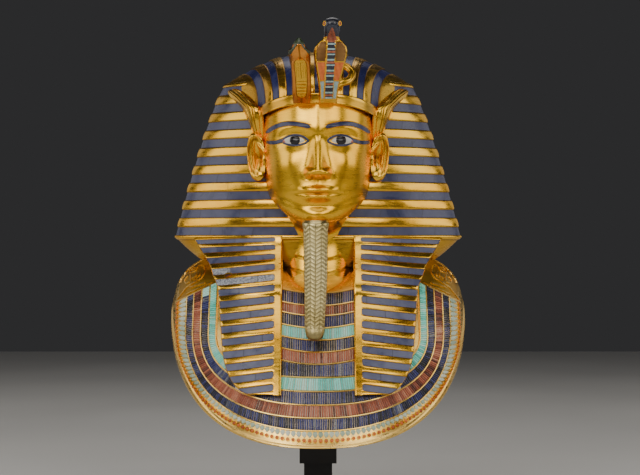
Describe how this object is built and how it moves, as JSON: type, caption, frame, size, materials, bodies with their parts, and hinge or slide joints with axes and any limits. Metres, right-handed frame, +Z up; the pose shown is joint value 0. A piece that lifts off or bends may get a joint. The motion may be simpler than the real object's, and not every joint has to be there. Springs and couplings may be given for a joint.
{
  "type": "ancient Egyptian funerary mask on a stand",
  "caption": "Gold funerary mask with blue striped headcloth, vulture and cobra on the brow, plaited beard and inlaid collar, on a black post with a foot.",
  "frame": {"origin": "middle of the foot's underside, on the surface that the stand rests on", "axes": "+Z up along the post to the crown, -Y the way the face looks, +X to the right seen from the front"},
  "size_m": [0.397, 0.4938, 0.6535],
  "materials": {
    "gold": "polished",
    "pale_gold": "satin",
    "eye_stone": "polished",
    "blue_glass": "satin",
    "dark_blue_stone": "satin",
    "red_stone": "satin",
    "green_stone": "satin",
    "black_steel": "matt",
    "black_pad": "matt"
  },
  "bodies": {
    "root": {"mask_shell": "gold", "vulture_head": "gold", "cobra": "gold", "beard": "pale_gold", "eye_right": "eye_stone", "eye_left": "eye_stone", "stand_post": "black_steel", "stand_cradle": "black_pad", "stand_foot": "black_steel"}
  },
  "joints": []
}
